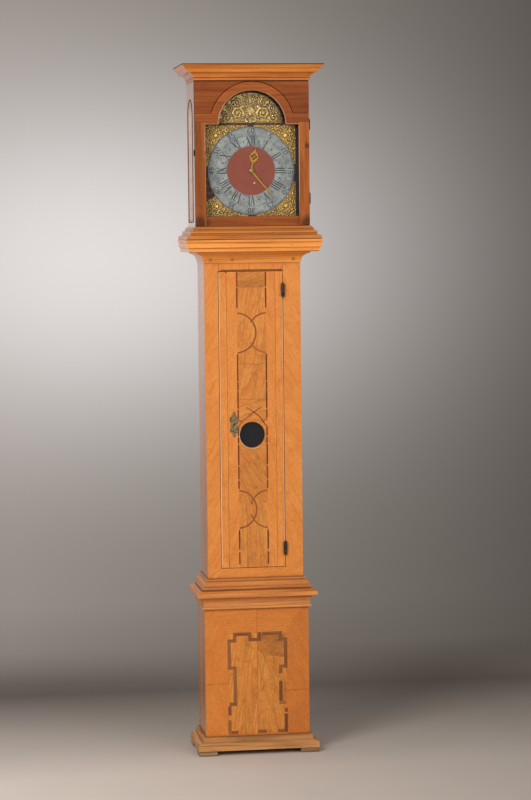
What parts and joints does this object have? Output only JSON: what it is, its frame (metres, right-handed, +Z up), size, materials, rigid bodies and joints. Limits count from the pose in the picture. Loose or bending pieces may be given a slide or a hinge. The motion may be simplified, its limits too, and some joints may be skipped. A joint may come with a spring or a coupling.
{
  "type": "tall case clock",
  "caption": "Tall case clock with a lift-off hood, arched brass dial, long trunk door with a lenticle, chain-wound weights and a pendulum.",
  "frame": {"origin": "on the floor in the middle of the plan", "axes": "+X to the right as the clock is seen, +Y to the back, +Z up"},
  "size_m": [0.4396, 0.2458, 2.15],
  "materials": {
    "veneer": "waxed figured veneer with inlaid lines",
    "side_wood": "waxed",
    "moulding_wood": "waxed cross-grain mouldings",
    "hood_wood": "waxed",
    "plinth_wood": "worn matt",
    "carcase_wood": "bare",
    "mask_stain": "dark stain",
    "iron": "dark wrought",
    "worn_brass": "worn",
    "dial_brass": "tarnished",
    "silvered_ring": "silvered and brushed",
    "matted_centre": "matted",
    "gilt": "gilt casting",
    "brass": "turned and brushed",
    "bell_metal": "cast",
    "bob_brass": "brass-faced lens",
    "steel": "filed",
    "hand_gilt": "gilt",
    "chain_iron": "drawn wire",
    "weight_iron": "cast",
    "glass": "clear old sheet"
  },
  "bodies": {
    "case": {"feet": "plinth_wood", "bottom_board": "carcase_wood", "plinth": "plinth_wood", "base_front": "veneer", "base_sides": "side_wood", "base_cap_moulding": "moulding_wood", "waist_moulding": "moulding_wood", "trunk_sides": "side_wood", "trunk_front_frame": "veneer", "throat_moulding": "moulding_wood", "backboard": "carcase_wood", "seatboard": "carcase_wood", "trunk_hinge_posts": "iron", "dial_plate": "dial_brass", "chapter_ring": "silvered_ring", "dial_centre": "matted_centre", "dial_mounts": "gilt", "movement_frame": "brass", "back_cock": "brass", "bell": "bell_metal", "going_chain": "chain_iron", "strike_chain": "chain_iron"},
    "trunk_door": {"trunk_door": "veneer", "lenticle_glass": "glass", "escutcheon": "worn_brass", "lock_case": "iron", "trunk_door_hinge_leaves": "iron"},
    "lock_bolt": {"lock_bolt": "iron"},
    "hood": {"hood_sides": "side_wood", "hood_side_glasses": "glass", "hood_front_rails": "hood_wood", "hood_top_board": "carcase_wood", "cornice": "moulding_wood", "hood_base_moulding": "moulding_wood", "dial_mask": "mask_stain", "hood_hinge_posts": "iron"},
    "hood_door": {"hood_door_stiles": "hood_wood", "hood_door_rails": "hood_wood", "hood_door_glass": "glass", "hood_door_hinge_leaves": "iron", "hood_door_pull": "iron"},
    "great_wheel": {"great_wheel": "brass"},
    "second_wheel": {"second_wheel": "brass"},
    "escape_wheel": {"escape_wheel": "brass"},
    "anchor": {"anchor": "steel"},
    "minute_hand": {"minute_hand": "hand_gilt"},
    "hour_hand": {"hour_hand": "hand_gilt"},
    "strike_great_wheel": {"strike_great_wheel": "brass"},
    "hoop_wheel": {"hoop_wheel": "brass"},
    "warning_wheel": {"warning_wheel": "brass"},
    "fly": {"fly": "brass"},
    "count_wheel": {"count_wheel": "brass"},
    "count_detent": {"count_detent": "steel"},
    "hammer": {"hammer": "steel"},
    "pendulum": {"pendulum_rod": "steel", "pendulum_bob": "bob_brass"},
    "going_weight": {"going_weight": "weight_iron"},
    "going_counterweight": {"going_counterweight": "weight_iron"},
    "strike_weight": {"strike_weight": "weight_iron"},
    "strike_counterweight": {"strike_counterweight": "weight_iron"}
  },
  "joints": [
    {"name": "hood_slide", "type": "slide", "parent": "case", "child": "hood", "axis": [0, -1, 0], "range_m": [0, 0.2]},
    {"name": "hood_door_hinge", "type": "hinge", "parent": "hood", "child": "hood_door", "pos_m": [0.1813, -0.06135, 1.6539], "axis": [0, 0, 1], "range_deg": [0, 110]},
    {"name": "trunk_door_hinge", "type": "hinge", "parent": "case", "child": "trunk_door", "pos_m": [0.0945, -0.0589, 0.5865], "axis": [0, 0, 1], "range_deg": [0, 105]},
    {"name": "lock_bolt_slide", "type": "slide", "parent": "trunk_door", "child": "lock_bolt", "axis": [-1, 0, 0], "range_m": [0, 0.008]},
    {"name": "great_spin", "type": "hinge", "parent": "case", "child": "great_wheel", "pos_m": [0.036, -0.0131, 1.79], "axis": [0, 1, 0], "continuous": true},
    {"name": "second_spin", "type": "hinge", "parent": "case", "child": "second_wheel", "pos_m": [0.02274, -0.0131, 1.8254], "axis": [0, 1, 0], "continuous": true},
    {"name": "escape_spin", "type": "hinge", "parent": "case", "child": "escape_wheel", "pos_m": [0, -0.0131, 1.85154], "axis": [0, 1, 0], "continuous": true},
    {"name": "minute_spin", "type": "hinge", "parent": "case", "child": "minute_hand", "pos_m": [0, -0.0131, 1.8245], "axis": [0, 1, 0], "continuous": true},
    {"name": "hour_spin", "type": "hinge", "parent": "case", "child": "hour_hand", "pos_m": [0, -0.0131, 1.8245], "axis": [0, 1, 0], "continuous": true},
    {"name": "strike_great_spin", "type": "hinge", "parent": "case", "child": "strike_great_wheel", "pos_m": [-0.036, -0.0131, 1.79], "axis": [0, 1, 0], "continuous": true},
    {"name": "hoop_spin", "type": "hinge", "parent": "case", "child": "hoop_wheel", "pos_m": [-0.04256, -0.0131, 1.82723], "axis": [0, 1, 0], "continuous": true},
    {"name": "warning_spin", "type": "hinge", "parent": "case", "child": "warning_wheel", "pos_m": [-0.02716, -0.0131, 1.8539], "axis": [0, 1, 0], "continuous": true},
    {"name": "fly_spin", "type": "hinge", "parent": "case", "child": "fly", "pos_m": [-0.04962, -0.0131, 1.85786], "axis": [0, 1, 0], "continuous": true},
    {"name": "count_spin", "type": "hinge", "parent": "case", "child": "count_wheel", "pos_m": [-0.0416, -0.0131, 1.75824], "axis": [0, 1, 0], "continuous": true},
    {"name": "pendulum_swing", "type": "hinge", "parent": "case", "child": "pendulum", "pos_m": [0, 0.0759, 1.877], "axis": [0, 1, 0], "range_deg": [-2.5, 2.5]},
    {"name": "anchor_rock", "type": "hinge", "parent": "case", "child": "anchor", "pos_m": [0, -0.0131, 1.877], "axis": [0, 1, 0], "range_deg": [-2.6, 2.6]},
    {"name": "hammer_lift", "type": "hinge", "parent": "case", "child": "hammer", "pos_m": [-0.062, -0.0131, 1.745], "axis": [0, 1, 0], "range_deg": [0, 4]},
    {"name": "detent_lift", "type": "hinge", "parent": "case", "child": "count_detent", "pos_m": [-0.007, -0.0131, 1.7225], "axis": [0, 1, 0], "range_deg": [0, 8]},
    {"name": "going_weight_fall", "type": "slide", "parent": "case", "child": "going_weight", "axis": [0, 0, -1], "range_m": [-0.33, 0.48], "deforming": ["going_chain"]},
    {"name": "going_counterweight_rise", "type": "slide", "parent": "case", "child": "going_counterweight", "axis": [0, 0, -1], "range_m": [-0.48, 0.33]},
    {"name": "strike_weight_fall", "type": "slide", "parent": "case", "child": "strike_weight", "axis": [0, 0, -1], "range_m": [-0.33, 0.42], "deforming": ["strike_chain"]},
    {"name": "strike_counterweight_rise", "type": "slide", "parent": "case", "child": "strike_counterweight", "axis": [0, 0, -1], "range_m": [-0.42, 0.33]}
  ],
  "couplings": [
    {"joint": "second_spin", "follows": "great_spin", "ratio": -8},
    {"joint": "escape_spin", "follows": "great_spin", "ratio": 64},
    {"joint": "minute_spin", "follows": "great_spin", "ratio": -1},
    {"joint": "hour_spin", "follows": "great_spin", "ratio": -0.083333},
    {"joint": "hoop_spin", "follows": "strike_great_spin", "ratio": -8},
    {"joint": "warning_spin", "follows": "strike_great_spin", "ratio": 48},
    {"joint": "fly_spin", "follows": "strike_great_spin", "ratio": -240},
    {"joint": "count_spin", "follows": "strike_great_spin", "ratio": -0.10256},
    {"joint": "anchor_rock", "follows": "pendulum_swing", "ratio": 1},
    {"joint": "going_counterweight_rise", "follows": "going_weight_fall", "ratio": -1},
    {"joint": "strike_counterweight_rise", "follows": "strike_weight_fall", "ratio": -1}
  ]
}
